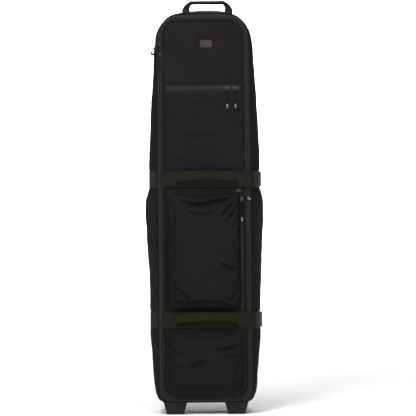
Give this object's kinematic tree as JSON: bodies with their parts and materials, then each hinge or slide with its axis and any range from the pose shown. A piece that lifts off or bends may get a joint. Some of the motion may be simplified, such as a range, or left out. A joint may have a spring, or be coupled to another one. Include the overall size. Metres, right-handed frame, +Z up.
{
  "type": "golf travel case",
  "caption": "Tall soft-sided wheeled travel case for a golf bag, with a zipped swinging front door, shoe pocket, cinch straps with side buckles, carry grips and moulded feet.",
  "frame": {"origin": "on the floor under the middle of the case's footprint box", "axes": "+Z up, the front door faces -Y, +X to the right seen from the front"},
  "size_m": [0.364, 0.382, 1.27],
  "materials": {
    "case_fabric": "black ripstop polyester",
    "base_fabric": "coated black polyester",
    "foam_lining": "foam under black lining",
    "board_plastic": "sheet plastic",
    "webbing": "dark olive woven webbing",
    "buckle_plastic": "moulded acetal",
    "foot_plastic": "moulded rubber",
    "housing_plastic": "moulded plastic",
    "steel": "zinc plated",
    "zip_coil": "nylon coil",
    "zip_metal": "black enamel",
    "pull_rubber": "cord with moulded tip",
    "piping": "bound piping",
    "badge_rubber": "moulded brown badge",
    "grip_rubber": "wrapped grip",
    "tyre_rubber": "urethane tyre",
    "hub_plastic": "moulded hub"
  },
  "bodies": {
    "case": {"back_panel": "case_fabric", "side_gusset_left": "case_fabric", "side_gusset_right": "case_fabric", "top_panel": "case_fabric", "base_panel": "base_fabric", "front_rim": "case_fabric", "hood_padding": "foam_lining", "back_stiffener": "board_plastic", "base_board": "board_plastic", "inner_straps": "webbing", "inner_buckles": "buckle_plastic", "foot_left": "foot_plastic", "foot_right": "foot_plastic", "wheel_housing_left": "housing_plastic", "wheel_housing_right": "housing_plastic", "axle_left": "steel", "axle_right": "steel", "base_screws": "steel", "skid_rails": "housing_plastic", "main_zip_coil_case": "zip_coil", "left_straps": "webbing", "right_straps": "webbing", "buckle_socket_upper": "buckle_plastic", "buckle_socket_lower": "buckle_plastic", "top_handle_anchors": "webbing"},
    "front_door": {"lid_panel": "case_fabric", "mid_pocket": "case_fabric", "lower_pad": "case_fabric", "lid_piping": "piping", "main_zip_coil_lid": "zip_coil", "upper_pocket_zip": "zip_coil", "mid_pocket_zip": "zip_coil", "strap_upper_front": "webbing", "strap_lower_front": "webbing", "grip_upper": "webbing", "grip_lower": "webbing", "buckle_plug_upper": "buckle_plastic", "buckle_plug_lower": "buckle_plastic", "badge": "badge_rubber"},
    "top_handle": {"top_handle_webbing": "webbing", "top_handle_grip": "grip_rubber"},
    "wheel_left": {"tyre_left": "tyre_rubber", "hub_left": "hub_plastic", "bearings_left": "steel"},
    "wheel_right": {"tyre_right": "tyre_rubber", "hub_right": "hub_plastic", "bearings_right": "steel"},
    "slider_main_upper": {"slider_main_upper": "zip_metal"},
    "pull_main_upper": {"pull_main_upper": "pull_rubber"},
    "slider_main_lower": {"slider_main_lower": "zip_metal"},
    "pull_main_lower": {"pull_main_lower": "pull_rubber"},
    "slider_upper_pocket_left": {"slider_upper_pocket_left": "zip_metal"},
    "pull_upper_pocket_left": {"pull_upper_pocket_left": "pull_rubber"},
    "slider_upper_pocket_right": {"slider_upper_pocket_right": "zip_metal"},
    "pull_upper_pocket_right": {"pull_upper_pocket_right": "pull_rubber"},
    "slider_mid_pocket_top": {"slider_mid_pocket_top": "zip_metal"},
    "pull_mid_pocket_top": {"pull_mid_pocket_top": "pull_rubber"},
    "slider_mid_pocket_side": {"slider_mid_pocket_side": "zip_metal"},
    "pull_mid_pocket_side": {"pull_mid_pocket_side": "pull_rubber"}
  },
  "joints": [
    {"name": "door_swing", "type": "hinge", "parent": "case", "child": "front_door", "pos_m": [-0.124, -0.143, 0.633], "axis": [0, 0, -1], "range_deg": [0, 115], "deforming": ["buckle_plug_upper", "buckle_plug_lower"]},
    {"name": "top_handle_fold", "type": "hinge", "parent": "case", "child": "top_handle", "pos_m": [0.013, -0.098, 1.2395], "axis": [1, 0, 0], "range_deg": [-40, 50]},
    {"name": "wheel_left_spin", "type": "hinge", "parent": "case", "child": "wheel_left", "pos_m": [-0.105, 0.1535, 0.0375], "axis": [1, 0, 0], "continuous": true},
    {"name": "wheel_right_spin", "type": "hinge", "parent": "case", "child": "wheel_right", "pos_m": [0.105, 0.1535, 0.0375], "axis": [1, 0, 0], "continuous": true},
    {"name": "slider_main_upper_slide", "type": "slide", "parent": "case", "child": "slider_main_upper", "axis": [0, 0, 1], "range_m": [0, 0.02]},
    {"name": "slider_main_lower_slide", "type": "slide", "parent": "case", "child": "slider_main_lower", "axis": [0, 0, -1], "range_m": [0, 0.285]},
    {"name": "slider_upper_pocket_left_slide", "type": "slide", "parent": "front_door", "child": "slider_upper_pocket_left", "axis": [-1, 0, 0], "range_m": [0, 0.17]},
    {"name": "slider_upper_pocket_right_slide", "type": "slide", "parent": "front_door", "child": "slider_upper_pocket_right", "axis": [1, 0, 0], "range_m": [0, 0.008]},
    {"name": "slider_mid_pocket_top_slide", "type": "slide", "parent": "front_door", "child": "slider_mid_pocket_top", "axis": [-1, 0, 0], "range_m": [0, 0.2]},
    {"name": "slider_mid_pocket_side_slide", "type": "slide", "parent": "front_door", "child": "slider_mid_pocket_side", "axis": [0, 0, -1], "range_m": [0, 0.265]},
    {"name": "pull_main_upper_swing", "type": "hinge", "parent": "slider_main_upper", "child": "pull_main_upper", "pos_m": [-0.13709, -0.14109, 1.135], "axis": [-0.7071, 0.7071, 0], "range_deg": [-18, 70]},
    {"name": "pull_main_lower_swing", "type": "hinge", "parent": "slider_main_lower", "child": "pull_main_lower", "pos_m": [-0.13709, -0.14109, 1.104], "axis": [-0.7071, 0.7071, 0], "range_deg": [0, 62]},
    {"name": "pull_upper_pocket_left_swing", "type": "hinge", "parent": "slider_upper_pocket_left", "child": "pull_upper_pocket_left", "pos_m": [0.072, -0.1506, 1], "axis": [-1, 0, 0], "range_deg": [0, 110]},
    {"name": "pull_upper_pocket_right_swing", "type": "hinge", "parent": "slider_upper_pocket_right", "child": "pull_upper_pocket_right", "pos_m": [0.097, -0.1506, 1], "axis": [-1, 0, 0], "range_deg": [0, 110]},
    {"name": "pull_mid_pocket_top_swing", "type": "hinge", "parent": "slider_mid_pocket_top", "child": "pull_mid_pocket_top", "pos_m": [0.104, -0.1498, 0.6865], "axis": [-0.6122, 0, -0.7907], "range_deg": [0, 60]},
    {"name": "pull_mid_pocket_side_swing", "type": "hinge", "parent": "slider_mid_pocket_side", "child": "pull_mid_pocket_side", "pos_m": [0.114, -0.1498, 0.66], "axis": [-1, 0, 0], "range_deg": [0, 110]}
  ]
}
